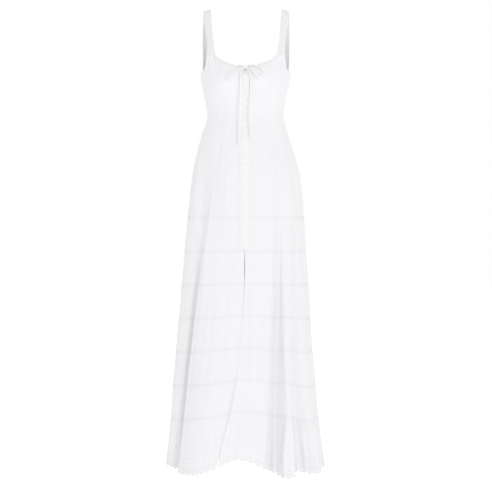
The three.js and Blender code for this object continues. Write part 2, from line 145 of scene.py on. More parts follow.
def half_width(deg, z):
    right = along(SECTIONS, SECTION_COLUMNS["right"], z)
    left = along(SECTIONS, SECTION_COLUMNS["left"], z)
    return np.where(wrap(deg) < 0, right, left)


def skin(deg, z):
    """The hanging garment's outer face, in millimetres, at angles from the front to the wearer's left."""
    deg, z = np.broadcast_arrays(np.asarray(deg, float), np.asarray(z, float))
    angle = np.radians(deg)
    half = half_width(deg, z)
    front = along(SECTIONS, SECTION_COLUMNS["front"], z)
    back = along(SECTIONS, SECTION_COLUMNS["back"], z)
    depth = np.where(np.cos(angle) > 0, front, back)
    x = half * np.sin(angle)
    y = -depth * np.cos(angle)
    normal_x = x / half**2
    normal_y = y / depth**2
    length = np.hypot(normal_x, normal_y)
    normal_x /= length
    normal_y /= length
    cups = bell(wrap(deg - CUP_DEG) / CUP_DEG_SPREAD) + bell(wrap(deg + CUP_DEG) / CUP_DEG_SPREAD)
    out = CUP_OUT * bell((z - CUP_Z) / CUP_Z_SPREAD) * cups
    lean = np.zeros_like(out)
    up = np.zeros_like(out)
    lifting = np.clip((LIFT_START - z) / (LIFT_START - FLOUNCE_TOP), 0, 1)
    flounce_share = np.clip((FLOUNCE_TOP - z) / (FLOUNCE_TOP - HEM), 0, 1)
    for row in FOLDS:
        fold = dict(zip(FOLD_COLUMNS, row))
        fall = np.clip((fold["start"] - z) / (fold["start"] - HEM), 0, 1)
        centre = fold["deg"] + (fold["hem_deg"] - fold["deg"]) * fall
        near = bell(wrap(deg - centre) / fold["spread"])
        weight = near * fall * (1 + FOLD_EASE - FOLD_EASE * fall)
        out = out + fold["out"] * weight
        lean = lean + fold["lean"] * weight
        rise = fold["up"] * lifting + (fold["hem_up"] - fold["up"]) * flounce_share
        up = up + near * rise
    x = x + normal_x * out - normal_y * lean
    y = y + normal_y * out + normal_x * lean
    return np.stack([x, y, z + up], -1)


def facing(deg, z):
    """The outward direction of that face."""
    across = skin(deg + PROBE_DEG, z) - skin(deg - PROBE_DEG, z)
    upward = skin(deg, z + PROBE_Z) - skin(deg, z - PROBE_Z)
    normal = np.cross(across, upward)
    return normal / np.linalg.norm(normal, axis=-1, keepdims=True)


def lifted(deg, z, out):
    """A point so many millimetres off that face."""
    return skin(deg, z) + facing(deg, z) * np.asarray(out)[..., None]


def deg_across(across, z):
    """The angle at which the front lies so many millimetres across."""
    return np.degrees(np.arcsin(across / half_width(across, z)))


def smooth_route(points, steps):
    """The centripetal curve through a route's points, as a list of that many steps a stretch."""
    p = np.array(points, float)
    p = np.vstack([2 * p[0] - p[1], p, 2 * p[-1] - p[-2]])
    route = []
    for a, b, c, d in zip(p, p[1:], p[2:], p[3:]):
        ab, bc, cd = (np.linalg.norm(v - u) ** 0.5 for u, v in ((a, b), (b, c), (c, d)))
        out_b = ((b - a) / ab - (c - a) / (ab + bc) + (c - b) / bc) * bc
        in_c = ((c - b) / bc - (d - b) / (bc + cd) + (d - c) / cd) * bc
        for t in np.arange(steps) / steps:
            hermite = (2 * t**3 - 3 * t**2 + 1) * b + (t**3 - 2 * t**2 + t) * out_b
            route.append(hermite + (3 * t**2 - 2 * t**3) * c + (t**3 - t**2) * in_c)
    route.append(p[-2])
    return np.array(route)


class Finish:
    """A material and short calls for the sums that its pattern is worked out by."""

    def __init__(self, name, colour, roughness, sheen=0.0, specular=0.25):
        self.material = bpy.data.materials.new(name)
        self.material.use_nodes = True
        self.tree = self.material.node_tree
        self.surface = self.tree.nodes["Principled BSDF"]
        self.surface.inputs["Base Color"].default_value = (*colour, 1)
        self.surface.inputs["Roughness"].default_value = roughness
        self.surface.inputs["Sheen Weight"].default_value = sheen
        self.surface.inputs["Specular IOR Level"].default_value = specular

    def node(self, kind, **inputs):
        made = self.tree.nodes.new(kind)
        for key, value in inputs.items():
            self.feed(made.inputs[key.replace("_", " ")], value)
        return made

    def feed(self, socket, value):
        if isinstance(value, bpy.types.NodeSocket):
            self.tree.links.new(value, socket)
        else:
            socket.default_value = value

    def math(self, operation, *values):
        made = self.tree.nodes.new("ShaderNodeMath")
        made.operation = operation
        for socket, value in zip(made.inputs, values):
            self.feed(socket, value)
        return made.outputs[0]

    def uv(self):
        """Millimetres across the cloth and down it."""
        coordinates = self.node("ShaderNodeTexCoord")
        split = self.node("ShaderNodeSeparateXYZ", Vector=coordinates.outputs["UV"])
        return split.outputs["X"], split.outputs["Y"]

    def repeat(self, along_cloth, pitch, shift=0.0):
        """How far a point is from the middle of its repeat, in millimetres."""
        moved = self.math("ADD", along_cloth, shift)
        return self.math("WRAP", moved, pitch / 2, -pitch / 2)

    def radius(self, across, down):
        squares = self.math("ADD", self.math("POWER", across, 2.0), self.math("POWER", down, 2.0))
        return self.math("SQRT", squares)

    def from_row(self, down, row):
        return self.math("SUBTRACT", down, row)

    def inside(self, value, limit, soft=0.25):
        """1 where the value is under the limit, and 0 over it."""
        ramp = self.node("ShaderNodeMapRange", Value=value, From_Min=limit - soft, From_Max=limit + soft)
        ramp.inputs["To Min"].default_value = 1
        ramp.inputs["To Max"].default_value = 0
        return ramp.outputs[0]

    def noise(self, scale, detail=2.0):
        """A soft unevenness that runs on through the piece."""
        place = self.node("ShaderNodeTexCoord").outputs["Object"]
        return self.node("ShaderNodeTexNoise", Vector=place, Scale=scale, Detail=detail).outputs["Fac"]

    def bump(self, height, depth, strength=1.0, over=None):
        """Relief so many millimetres high, laid over another one where that is given."""
        made = self.node("ShaderNodeBump", Height=height, Distance=depth * MM, Strength=strength)
        if over is not None:
            self.feed(made.inputs["Normal"], over)
        self.feed(self.surface.inputs["Normal"], made.outputs[0])
        return made.outputs[0]

    def glow_through(self, share=0.6, reach=1.0):
        """Thin cloth passes some light on to the dress's inside."""
        self.surface.inputs["Subsurface Weight"].default_value = share
        self.surface.inputs["Subsurface Radius"].default_value = (1, 1, 1)
        self.surface.inputs["Subsurface Scale"].default_value = reach * MM

    def holes(self, share, net):
        """Opens the cloth where the share is 1, apart from the fine net that fills the holes."""
        opened = self.math("MULTIPLY", share, 1 - net)
        self.feed(self.surface.inputs["Alpha"], self.math("SUBTRACT", 1.0, opened))


# Painted highlight: the cord is coloured lighter than the dress's cotton, for the light on its round
# strands.
CORD_HIGHLIGHT_COLOUR = (0.87, 0.87, 0.875)
highlight_cord_finish = Finish("rolled_cord_painted_highlight", CORD_HIGHLIGHT_COLOUR, roughness=0.6, sheen=0.3)
cord_place = highlight_cord_finish.node("ShaderNodeTexCoord").outputs["Object"]
cord_twist = highlight_cord_finish.node("ShaderNodeTexWave", Vector=cord_place, Scale=420.0, Distortion=1.5)
highlight_cord_finish.bump(cord_twist.outputs["Fac"], depth=0.25, strength=0.6)

CORD = 4.0
CORD_ROUNDNESS = 4
ROUTE_STEPS = 6
KNOT_Z, KNOT_OUT = -192, 5.7
KNOT_SIZE = (12.6, 7.4, 11)
# Points of the loops: across, height, and distance from the cloth
LOOP_RIGHT = [
    (-9.3, -189.4, 6), (-22, -188, 6.6), (-38, -195, 6.6), (-52, -207, 6.4), (-59, -219, 6.2),
    (-55, -228, 6.2), (-45, -225, 6.6), (-34, -215, 6.8), (-21, -204, 6.6), (-9.3, -194.6, 6),
]
LOOP_LEFT = [
    (3.3, -189.4, 6), (18, -187.5, 6.6), (32, -190, 6.8), (45, -198, 6.8), (51, -210, 6.6),
    (48, -222, 6.6), (39, -226, 6.6), (28, -218, 6.8), (16, -205, 6.6), (3.3, -194.6, 6),
]
# Points of the tails, in the dress's own frame
TAIL_RIGHT = [
    (-7.4, -107.9, -194), (-12.5, -114, -206), (-16, -116.5, -224), (-17.5, -117.3, -262),
    (-17.5, -117.5, -310), (-19, -117.5, -370), (-22, -117.5, -432),
]
TAIL_LEFT = [
    (1.4, -107.9, -194), (9, -114, -206), (13.8, -116.5, -222), (14.8, -117.3, -262),
    (13.6, -117.5, -322), (13.8, -117.5, -366), (16, -117.5, -412),
]
# Lengths in metres, and how the cords end and lie
LOOP_RIGHT_LENGTH, LOOP_LEFT_LENGTH = 0.140, 0.137
TAIL_RIGHT_LENGTH, TAIL_LEFT_LENGTH = 0.242, 0.222
LOOP_FACTS = {"far_end": "object", "lay": "loose"}
TAIL_FACTS = {"far_end": "bare", "lay": "hanging"}


def on_front(points):
    """Points of a route given across, in height and in distance from the cloth, in the dress's own frame."""
    return [lifted(deg_across(across, z), z, out) for across, z, out in points]


def cord_piece(node, points, length, **facts):
    route = smooth_route(points, ROUTE_STEPS) * MM
    curve = bpy.data.curves.new(f"cord_{node}", "CURVE")
    curve.dimensions = "3D"
    curve.bevel_depth = CORD / 2 * MM
    curve.bevel_resolution = CORD_ROUNDNESS
    curve.use_fill_caps = True
    spline = curve.splines.new("POLY")
    spline.points.add(len(route) - 1)
    spline.points.foreach_set("co", np.c_[route, np.ones(len(route))].ravel())
    spline.use_smooth = True
    curve.materials.append(highlight_cord_finish.material)
    piece = bpy.data.objects.new(f"cord_{node}", curve)
    bpy.context.collection.objects.link(piece)
    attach(piece, "root")
    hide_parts(node)


cord_piece("tie_loop_right", on_front(LOOP_RIGHT), LOOP_RIGHT_LENGTH, **LOOP_FACTS)
cord_piece("tie_loop_left", on_front(LOOP_LEFT), LOOP_LEFT_LENGTH, **LOOP_FACTS)
cord_piece("tie_tail_right", TAIL_RIGHT, TAIL_RIGHT_LENGTH, **TAIL_FACTS)
cord_piece("tie_tail_left", TAIL_LEFT, TAIL_LEFT_LENGTH, **TAIL_FACTS)


def mesh_piece(name, points, faces, material):
    """A smooth mesh from points in millimetres."""
    mesh = bpy.data.meshes.new(name)
    mesh.from_pydata((np.asarray(points) * MM).tolist(), [], [list(map(int, face)) for face in faces])
    mesh.polygons.foreach_set("use_smooth", [True] * len(mesh.polygons))
    mesh.materials.append(material)
    piece = bpy.data.objects.new(name, mesh)
    bpy.context.collection.objects.link(piece)
    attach(piece, "root")
    return piece


def ring_faces(rings, sides):
    """The faces of a closed lump whose points lie in rings."""
    faces = [
        (i * sides + j, (i + 1) * sides + j, (i + 1) * sides + (j + 1) % sides, i * sides + (j + 1) % sides)
        for i in range(rings - 1) for j in range(sides)
    ]
    return faces + [range(sides), range((rings - 1) * sides, rings * sides)[::-1]]


# The knot is the cord wound round itself, so strands run slanting round a small lump.
KNOT_RINGS, KNOT_SIDES = 40, 64
KNOT_STRANDS, KNOT_GROOVE = 3, 0.13
KNOT_END = 0.02
ring_angle = np.linspace(KNOT_END, math.pi - KNOT_END, KNOT_RINGS)[:, None]
side_angle = np.linspace(0, 2 * math.pi, KNOT_SIDES, endpoint=False)[None, :]
strand = np.abs(np.sin(KNOT_STRANDS * ring_angle + side_angle))
swell = (1 - KNOT_GROOVE * (1 - strand) ** 2) / 2
knot_points = np.stack([
    KNOT_SIZE[0] * swell * np.cos(ring_angle) * np.ones_like(side_angle),
    KNOT_SIZE[1] * swell * np.sin(ring_angle) * np.cos(side_angle),
    KNOT_SIZE[2] * swell * np.sin(ring_angle) * np.sin(side_angle),
], -1).reshape(-1, 3)
knot_place = lifted(deg_across(CENTRE, KNOT_Z), KNOT_Z, KNOT_OUT)
knot = mesh_piece("knot", knot_points + knot_place, ring_faces(KNOT_RINGS, KNOT_SIDES), highlight_cord_finish.material)
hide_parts("tie_knot")

# Fitted top. Seven panels of fine white cotton, joined by pressed seams that shape the bust and the waist.
# The cloth is plain, matt and a little uneven, with soft drag lines at the waist and long folds at the hips.
COTTON_COLOUR = (0.795, 0.797, 0.81)
CLOTH = 1.0
cotton_finish = Finish("fine_cotton", COTTON_COLOUR, roughness=0.9, sheen=0.25)
cotton_finish.glow_through()
cotton_u, cotton_v = cotton_finish.uv()
WEAVE_PITCH = 0.7
WEAVE_TURN = 2 * math.pi / WEAVE_PITCH
weave_across = cotton_finish.math("SINE", cotton_finish.math("MULTIPLY", cotton_u, WEAVE_TURN))
weave_down = cotton_finish.math("SINE", cotton_finish.math("MULTIPLY", cotton_v, WEAVE_TURN))
weave = cotton_finish.math("MULTIPLY", weave_across, weave_down)
weave = cotton_finish.bump(weave, depth=0.06, strength=0.5)
cotton_finish.bump(cotton_finish.noise(38.0, detail=3.0), depth=2.2, strength=0.35, over=weave)

# Soft creases: heights, angles at both ends, how far each stands out, and its spread in degrees
CREASE_COLUMNS = ("top", "bottom", "deg", "low_deg", "out", "spread")
CREASES = [
    (-330, -440, -40, -46, -1.4, 5), (-338, -420, -22, -19, -1.1, 4), (-345, -450, 20, 24, -1.2, 4.5),
    (-352, -475, 36, 42, -1.5, 5), (-318, -392, 12, 15, -0.9, 4), (-300, -372, -56, -51, -1.2, 5),
    (-138, -200, 46, 42, -3.0, 1.6), (-138, -194, 51, 51, 2.0, 1.5), (-136, -206, 55, 57, -3.2, 1.5),
    (-138, -196, -46, -42, -2.8, 1.6), (-138, -204, -51, -51, 1.8, 1.5), (-135, -200, -55, -56, -3.0, 1.6),
    (-160, -208, 37, 33, -1.6, 1.6), (-160, -218, -38, -36, -1.8, 2.0),
    (-395, -640, -33, -31, -2.6, 3.2), (-440, -700, -20, -19, 1.8, 2.8), (-420, -610, 16, 17, -1.6, 2.4),
    (-430, -760, 27, 25, 2.4, 3), (-380, -600, 44, 45, -2.8, 3.4), (-470, -700, 60, 62, -2.6, 4),
    (-420, -660, -62, -66, 2.4, 4), (-450, -680, -78, -80, -3, 4), (-430, -650, 82, 80, -2.4, 4),
    (-680, -1280, -14, -20, -3.0, 2.6), (-760, -1310, 9, 4, 2.6, 2.6), (-900, -1290, 15, 10, -3.4, 2.2),
    (-820, -1300, -27, -34, -2.8, 2.8), (-700, -1200, -36, -45, 2.8, 3), (-980, -1310, -46, -52, -3.6, 2.6),
    (-700, -1250, 60, 51, 3.4, 2.6), (-760, -1280, 70, 68, -3.4, 3), (-800, -1300, 92, 94, 3.6, 4),
    (-660, -1240, 102, 104, -3, 3.4), (-420, -620, 118, 120, -2.4, 4), (-400, -640, 148, 150, 2.2, 4),
    (-380, -600, 172, 171, -2.6, 4), (-390, -620, 190, 192, 2.4, 4), (-400, -640, 214, 212, -2.6, 4),
    (-420, -640, 240, 242, 2.4, 4), (-330, -400, 150, 160, -2, 4), (-335, -410, 208, 198, -2, 4),
    (-420, -1462, -29, -64, 3.0, 3.4), (-620, -1350, 24.5, 21, 3.0, 4), (-620, -1350, 38.2, 36, 2.8, 2.4),
    (-1290, -1462, 36.8, 28, 4.0, 2.6), (-405, -450, 25, 24, -2.4, 1.6), (-590, -665, 12, 12, -1.8, 1.8),
    (-740, -1290, 127, 128, -3.4, 3), (-700, -1300, 150, 152, 3.2, 3), (-820, -1300, 173, 174, -3.2, 3),
    (-720, -1290, 195, 196, 3.4, 3), (-760, -1280, 218, 219, -3.2, 3), (-700, -1300, 238, 240, 3, 3),
    (-760, -1290, 258, 258, -3.4, 3), (-900, -1310, 268, 266, 3, 2.6),
]
# Valleys that fall away gently from one side to a sharp fold: the spread at lower and at higher angles
VALLEY_COLUMNS = ("top", "bottom", "deg", "low_deg", "out", "spread_low", "spread_high")
VALLEYS = [
    (-440, -1462, -34, -69, -9.0, 15.0, 2.4),
    (-620, -1350, 35.0, 33.0, -3.4, 5.0, 1.7),
    (-1290, -1462, 33.5, 24.5, -5.0, 4.0, 1.8),
]
# The share of its length over which a crease fades at each end. One that reaches the hem doesn't fade there.
CREASE_FADE = 0.3


def creased(deg, z):
    """How far the soft creases stand out."""
    out = np.zeros(np.broadcast(deg, z).shape)
    rows = [dict(zip(VALLEY_COLUMNS, row)) for row in VALLEYS]
    rows += [dict(zip(CREASE_COLUMNS, row)) for row in CREASES]
    for crease in rows:
        share = (crease["top"] - z) / (crease["top"] - crease["bottom"])
        centre = crease["deg"] + (crease["low_deg"] - crease["deg"]) * share
        low_end = 0 if crease["bottom"] <= HEM else 1
        fade = np.clip(share / CREASE_FADE, 0, 1) * np.clip((1 - low_end * share) / CREASE_FADE, 0, 1)
        fade = fade * fade * (3 - 2 * fade)
        away = wrap(deg - centre)
        if "spread" in crease:
            spread = crease["spread"]
        else:
            spread = np.where(away < 0, crease["spread_low"], crease["spread_high"])
        out = out + crease["out"] * fade * bell(away / spread)
    return out


def cloth(deg, z, out=0.0):
    """A point of the finished cloth: the form with its soft creases, and so far off it."""
    return lifted(deg, z, creased(deg, z) + out)


def lengths(points, axis):
    """How far each point lies along the rows or columns of a grid, in millimetres."""
    steps = np.linalg.norm(np.diff(points, axis=axis), axis=-1)
    start = np.zeros_like(np.take(steps, [0], axis=axis))
    return np.concatenate([start, np.cumsum(steps, axis=axis)], axis=axis)


def grid_area(points):
    """The area of a grid of points in square metres."""
    across = np.diff(points, axis=1)[:-1]
    down = np.diff(points, axis=0)[:, :-1]
    return float(np.linalg.norm(np.cross(across, down), axis=-1).sum()) * MM**2


def shell(name, points, thickness, material, uv=None):
    """A thin sheet through a grid of points, rows running down and columns to the wearer's left."""
    rows, columns = points.shape[:2]
    index = np.arange(rows * columns).reshape(rows, columns)
    faces = np.stack([index[:-1, :-1], index[1:, :-1], index[1:, 1:], index[:-1, 1:]], -1).reshape(-1, 4)
    piece = mesh_piece(name, points.reshape(-1, 3), faces, material)
    if uv is None:
        middle = lengths(points, 1)[rows // 2]
        uv = np.stack([np.broadcast_to(middle, (rows, columns)), lengths(points, 0)], -1)
    layer = piece.data.uv_layers.new(name="cloth")
    layer.data.foreach_set("uv", uv.reshape(-1, 2)[faces.ravel()].ravel())
    # Cut edges stay crisp, so the face's shading runs level to the edge.
    ends = np.empty(2 * len(piece.data.edges), int)
    piece.data.edges.foreach_get("vertices", ends)
    row, column = np.divmod(ends.reshape(-1, 2), columns)
    level = (row[:, 0] == row[:, 1]) & np.isin(row[:, 0], (0, rows - 1))
    upright = (column[:, 0] == column[:, 1]) & np.isin(column[:, 0], (0, columns - 1))
    piece.data.edges.foreach_set("use_edge_sharp", level | upright)
    wall = piece.modifiers.new("wall", "SOLIDIFY")
    wall.thickness = thickness * MM
    wall.offset = -1
    return piece


# The top edge: angle on either side, height
TOP_EDGE = np.array([
    (0, -191), (12, -188.5), (21.5, -182), (32, -171), (38, -162), (43, -152), (51.5, -149), (60, -146),
    (61, -168), (63, -187), (68, -196), (78, -199), (90, -197), (98, -199), (106, -197), (132, -172),
    (148, -175), (180, -178),
])
# The keyhole: share of the length, half width in millimetres
KEYHOLE = ((0, 0.0), (0.008, 0.4), (0.014, 2.6), (0.021, 3.4), (0.029, 2.6), (0.036, 0.3), (0.05, 0.0))
PANEL_ROWS = 130
PANEL_STEP = 0.7
SEAM_DEPTH, SEAM_WIDTH = 0.05, 1.6


def top_edge(deg):
    return np.interp(np.abs(wrap(deg)), TOP_EDGE[:, 0], TOP_EDGE[:, 1])


def top_grid(start, end, shares):
    """Angles and heights of a panel of the top. An edge without an angle lies at the closing."""
    turn = (end or 0) - (start or 0)
    t = np.linspace(0, 1, int(abs(turn) / PANEL_STEP))[None, :]
    shares = np.asarray(shares)[:, None]
    guess = (start or 0) + turn * t
    edge = top_edge(guess)
    z = edge + (TOP_HEM + SEAM / 2 - edge) * np.clip(shares, 0, 1)
    hole = np.interp(shares, *np.array(KEYHOLE).T)
    first = deg_across(CENTRE + SEAM / 2 + hole, z[:, :1]) if start is None else start
    last = deg_across(CENTRE - SEAM / 2 - hole, z[:, -1:]) if end is None else end
    return first + (last - first) * t + 0 * z, z


def seam_groove(points):
    """Pressed seams: the cloth turns in along both long edges of a panel."""
    across = lengths(points, 1)
    nearest = np.minimum(across, across[:, -1:] - across)
    return -SEAM_DEPTH * bell(nearest / SEAM_WIDTH)


PANELS = {
    "centre_front_left": (None, 32),
    "centre_front_right": (-32, None),
    "side_front_left": (32, 90),
    "side_front_right": (-90, -32),
    "side_back_left": (90, 148),
    "side_back_right": (212, 270),
    "back": (148, 212),
}
panel_shares = np.linspace(0, 1, PANEL_ROWS)
for node, (start, end) in PANELS.items():
    deg, z = top_grid(start, end, panel_shares)
    points = cloth(deg, z, seam_groove(skin(deg, z)))
    panel = shell(f"panel_{node}", points, CLOTH, cotton_finish.material)
    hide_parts(node)
    grid_area(skin(deg, z))

# Straps. Each is a wide band of doubled cotton that tapers upward, stitched along both edges. It runs from
# its seat on the front, over the shoulder, down to the back.
# Points of the long edges over the shoulder: across, to the back, height
STRAP_INNER = [
    (103.5, -60, -113), (107.5, -47, -74), (110.5, -30, -36), (112.5, -13, -8), (113.5, 4, 4.5),
    (113, 21, -5), (112.5, 39, -30), (112, 54, -72), (111, 61, -114), (109, 60.5, -148),
]
STRAP_OUTER = [
    (124.5, -43, -113), (129.5, -31, -74), (134, -19, -40), (136.8, -6, -15), (137.5, 6, -3),
    (138, 19, -11), (138.5, 30, -36), (139.5, 34, -76), (139.5, 32, -120), (139, 28.5, -162),
]
STRAP_SEATS = {"inner": (43, 132), "outer": (60, 106)}
STRAP_SHIFT = 1.5
STRAP_CROWN = 1.2
STRAP_COLUMNS = 17
STRAP_STEPS = 14
STRAP_THICKNESS = 1.4
STRAP_END_ROWS = 20
STITCH_LINE, STITCH_DIP, STRAP_STITCH_WIDTH = 3.0, 0.35, 0.9
# Painted shade: the straps are coloured greyer than the panels' cotton, for the shade as they turn over the
# shoulders.
STRAP_SHADED_COLOUR = (0.76, 0.758, 0.757)
shaded_strap_finish = Finish("doubled_strap_painted_shade", STRAP_SHADED_COLOUR, roughness=0.9, sheen=0.25)
shaded_strap_finish.glow_through()
shaded_strap_finish.bump(shaded_strap_finish.noise(70.0), depth=2.0, strength=0.4)


def strap_edge(side, points, seats):
    """The line of one long edge, from its seat on the front to its seat on the back."""
    first, last = (skin(side * deg, top_edge(deg)) for deg in seats)
    between = [(side * x + STRAP_SHIFT, y, z) for x, y, z in points]
    return smooth_route([first, *between, last], STRAP_STEPS)


for side, name in ((1, "left"), (-1, "right")):
    inner = strap_edge(side, STRAP_INNER, STRAP_SEATS["inner"])
    outer = strap_edge(side, STRAP_OUTER, STRAP_SEATS["outer"])
    ahead = np.gradient(inner, axis=0)
    up = np.cross(ahead, inner - outer)
    up *= side / np.linalg.norm(up, axis=1, keepdims=True)
    share = np.linspace(0, 1, STRAP_COLUMNS)
    points = inner[:, None] + (outer - inner)[:, None] * share[None, :, None]
    # Each end follows the top edge of the panels that carry it.
    for row, inner_deg, outer_deg in zip((0, -1), STRAP_SEATS["inner"], STRAP_SEATS["outer"]):
        seat_deg = inner_deg + (outer_deg - inner_deg) * share
        change = skin(side * seat_deg, top_edge(seat_deg)) - points[row]
        reach = np.abs(np.arange(len(points)) - row % len(points)) / STRAP_END_ROWS
        points = points + change * np.clip(1 - reach, 0, 1)[:, None, None] ** 2
    # The band is a little crowned between its two lines of stitches.
    width = np.linalg.norm(outer - inner, axis=1)[:, None]
    edge_distance = np.minimum(share, 1 - share) * width
    stitches = STITCH_DIP * bell((edge_distance - STITCH_LINE) / STRAP_STITCH_WIDTH)
    lift = STRAP_CROWN * (1 - (2 * share - 1) ** 2) - stitches
    end_distance = np.minimum(np.arange(len(points)), np.arange(len(points))[::-1])[:, None]
    lift = lift * np.clip(end_distance / STRAP_END_ROWS, 0, 1)
    points = points + up[:, None] * lift[..., None]
    # The rows run up the front and over the shoulder, so the columns run towards the wearer's right.
    if side > 0:
        points = points[:, ::-1]
    strap = shell(f"strap_band_{name}", points, STRAP_THICKNESS, shaded_strap_finish.material)
    # The inner layer is the plain cotton of the panels.
    strap.data.materials.append(cotton_finish.material)
    strap.modifiers["wall"].material_offset = 1
    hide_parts(f"strap_{name}")

# Neck lace. A narrow cotton edging with small picots and two rows of eyelets. It is sewn flat on the
# neckline, front and back, and its picots stand just above the edge.
NECK_RISE = 3.0
NECK_LACE_DEPTH = 0.021
NECK_PICOT, NECK_PICOT_RISE, NECK_PICOT_SHAPE = 5.5, 1.6, 0.6
NECK_ROWS = 14
# Rows of eyelets: distance from the upper edge, radius
EYELET_ROW, EYELET = 3.2, 1.1
LADDER_ROW, LADDER_EYELET, LADDER_SHIFT = 8.0, 0.7, 1.4
LACE = 0.6
LACE_COLOUR = (0.80, 0.802, 0.815)
neck_finish = Finish("neck_lace", LACE_COLOUR, roughness=0.85, sheen=0.2)
neck_u, neck_v = neck_finish.uv()
neck_cell = neck_finish.repeat(neck_u, NECK_PICOT)
neck_eyelet = neck_finish.radius(neck_cell, neck_finish.from_row(neck_v, EYELET_ROW))
neck_eyelet = neck_finish.inside(neck_eyelet, EYELET)
neck_between = neck_finish.repeat(neck_u, NECK_PICOT / 2, LADDER_SHIFT)
neck_ladder = neck_finish.radius(neck_between, neck_finish.from_row(neck_v, LADDER_ROW))
neck_ladder = neck_finish.inside(neck_ladder, LADDER_EYELET)
neck_holes = neck_finish.math("MAXIMUM", neck_eyelet, neck_ladder)
neck_finish.holes(neck_holes, net=0.6)
neck_finish.bump(neck_holes, depth=-0.5, strength=0.8)

# Each run's ends and the panel that it is sewn to
NECK_RUNS = {
    "neck_lace_left": (None, 43, "centre_front_left"),
    "neck_lace_right": (-43, None, "centre_front_right"),
    "neck_lace_back": (134, 226, "back"),
}
for node, (start, end, carrier) in NECK_RUNS.items():
    shares = np.concatenate([[0], np.linspace(0, NECK_LACE_DEPTH, NECK_ROWS)])
    deg, z = top_grid(start, end, shares)
    across = lengths(skin(deg, z), 1)[1]
    place = across / across[-1] * round(across[-1] / NECK_PICOT)
    picots = np.abs(np.sin(math.pi * place)) ** NECK_PICOT_SHAPE
    z[0] += NECK_RISE - NECK_PICOT_RISE + NECK_PICOT_RISE * 2 * picots
    points = cloth(deg, z, SEAM + LACE)
    uv = np.stack([np.broadcast_to(place * NECK_PICOT, deg.shape), lengths(points, 0)], -1)
    trim = shell(f"edging_{node}", points, LACE, neck_finish.material, uv)
    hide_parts(node)

# Skirt. Lace insertions join six tiers of the same cotton, each seam a narrow heading over the lace. The
# skirt opens down the front, and its edges swing to the wearer's right towards the hem.
SLIT = np.array([
    # z, middle of the opening across the front, width of the opening, or of the overlap where it is under 0
    (-658, -3, 0.1), (-765, -3, 0.5), (-800, -3.2, 1.6), (-835, -3.6, 2.0), (-880, -4.6, 0.9),
    (-985, -9, 0.2), (-1090, -16, -2), (-1170, -25, -3), (-1234, -34, -3), (-1302, -49, -2),
    (-1373, -67, -1), (-1425, -81, 2), (-1462, -89, 4),
])
SLIT_REACH = 60
SKIRT_COLUMNS = 560
TIER_ROWS = 22
BAND_ROWS = 5
# Each tier reaches so far over the lace, and stands out a little along its seams.
HEADING = 0.8
HEADING_OUT, HEADING_MIDDLE, HEADING_WIDTH = 0.25, 2.5, 1.6


def skirt_deg(turn, z):
    """The angle of a column of the skirt, which is given as a share of the turn between the front edges."""
    middle = along(SLIT, 1, z)
    half_gap = along(SLIT, 2, z) / 2
    nominal = 360 * turn
    away = np.clip(np.abs(wrap(nominal)) / SLIT_REACH, 0, 1)
    follow = (1 - away) ** 2 * (1 + 2 * away)
    edge = np.where(turn < 0.5, deg_across(middle + half_gap, z), deg_across(middle - half_gap, z))
    return nominal + follow * edge


# The edges' overlap: height, how far the upper edge stands out
OVERLAP = np.array([(-940, 0.0), (-1000, 0.9), (-1190, 0.9), (-1240, 2.6), (-1470, 2.6)])
OVERLAP_SPREAD = 4.5
UNDER_SHARE = 0.4


def overlap(turn, z):
    """The edge on the wearer's left lies over the other one."""
    upper, lower = bell(360 * turn / OVERLAP_SPREAD), bell(360 * (1 - turn) / OVERLAP_SPREAD)
    return along(OVERLAP, 1, z) * (upper - UNDER_SHARE * lower)


turns = np.linspace(0, 1, SKIRT_COLUMNS)[None, :]

# The insertion's pattern: a row of upright ovals between two rows of beading
INSERTION_PITCH = 6.5
OVAL_HALF_WIDTH, OVAL_HALF_HEIGHT = 1.5, 2.4
BEADING_ROW, BEADING = 4.7, 0.8
insertion_finish = Finish("lace_insertion", LACE_COLOUR, roughness=0.85, sheen=0.2)
insertion_u, insertion_v = insertion_finish.uv()
insertion_cell = insertion_finish.repeat(insertion_u, INSERTION_PITCH)
insertion_mid = insertion_finish.from_row(insertion_v, BAND / 2)
oval = insertion_finish.radius(
    insertion_finish.math("DIVIDE", insertion_cell, OVAL_HALF_WIDTH),
    insertion_finish.math("DIVIDE", insertion_mid, OVAL_HALF_HEIGHT))
insertion_oval = insertion_finish.inside(oval, 1.0, soft=0.15)
beading_cell = insertion_finish.repeat(insertion_u, INSERTION_PITCH / 2, INSERTION_PITCH / 4)
beading_row = insertion_finish.from_row(insertion_finish.math("ABSOLUTE", insertion_mid), BEADING_ROW)
insertion_beading = insertion_finish.inside(insertion_finish.radius(beading_cell, beading_row), BEADING)
insertion_holes = insertion_finish.math("MAXIMUM", insertion_oval, insertion_beading)
insertion_finish.holes(insertion_holes, net=0.86)
insertion_finish.bump(insertion_holes, depth=-0.3, strength=0.5)

for k in range(TIERS + 1):
    top = TOP_HEM - k * TIER_PITCH
    z = np.linspace(top + SEAM / 2, top - BAND - SEAM / 2, BAND_ROWS)[:, None]
    deg = skirt_deg(turns, z)
    points = cloth(deg, z + 0 * deg, overlap(turns, z))
    uv = np.stack([np.broadcast_to(lengths(points, 1)[0], deg.shape), lengths(points, 0)], -1)
    band = shell(f"insertion_{k + 1}", points, LACE, insertion_finish.material, uv)
    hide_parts(f"lace_band_{k + 1}")
    if k == TIERS:
        continue
    first, last = top - BAND - SEAM / 2 + HEADING, top - TIER_PITCH + SEAM / 2 - HEADING
    z = np.linspace(first, last, TIER_ROWS)[:, None]
    deg = skirt_deg(turns, z)
    smooth = skin(deg, z + 0 * deg)
    down = lengths(smooth, 0)
    edge = np.minimum(down, down[-1:] - down)
    seams = HEADING_OUT * bell((edge - HEADING_MIDDLE) / HEADING_WIDTH)
    points = cloth(deg, z + 0 * deg, seams + overlap(turns, z))
    tier = shell(f"cloth_tier_{k + 1}", points, CLOTH, cotton_finish.material)
    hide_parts(f"tier_{k + 1}")

